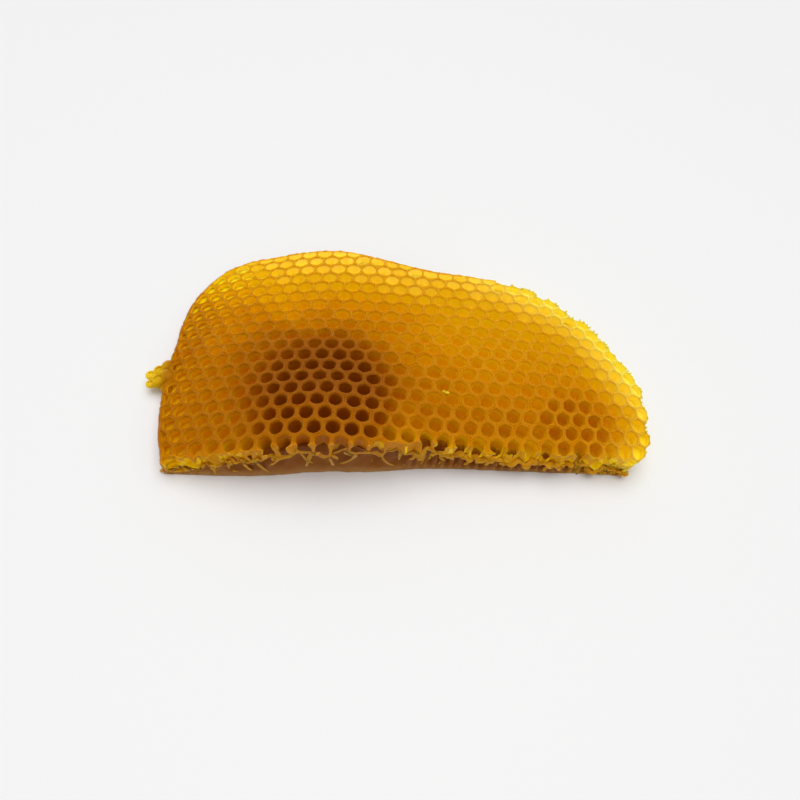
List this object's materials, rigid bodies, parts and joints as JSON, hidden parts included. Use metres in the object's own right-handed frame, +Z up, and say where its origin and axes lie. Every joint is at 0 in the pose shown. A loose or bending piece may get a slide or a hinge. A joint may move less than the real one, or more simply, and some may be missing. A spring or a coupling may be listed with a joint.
{
  "type": "honeycomb piece",
  "caption": "Empty piece of natural beeswax honeycomb with open six-sided cells on both faces, cut along one side and lying like a low arch.",
  "frame": {"origin": "on the surface the piece lies on, under the middle of its bounding box", "axes": "+X along the cut side, which faces -Y; +Z up"},
  "size_m": [0.1538, 0.0856, 0.0192],
  "materials": {
    "wax": "soft waxy sheen, amber yellow"
  },
  "bodies": {
    "root": {"honeycomb": "wax"}
  },
  "joints": []
}
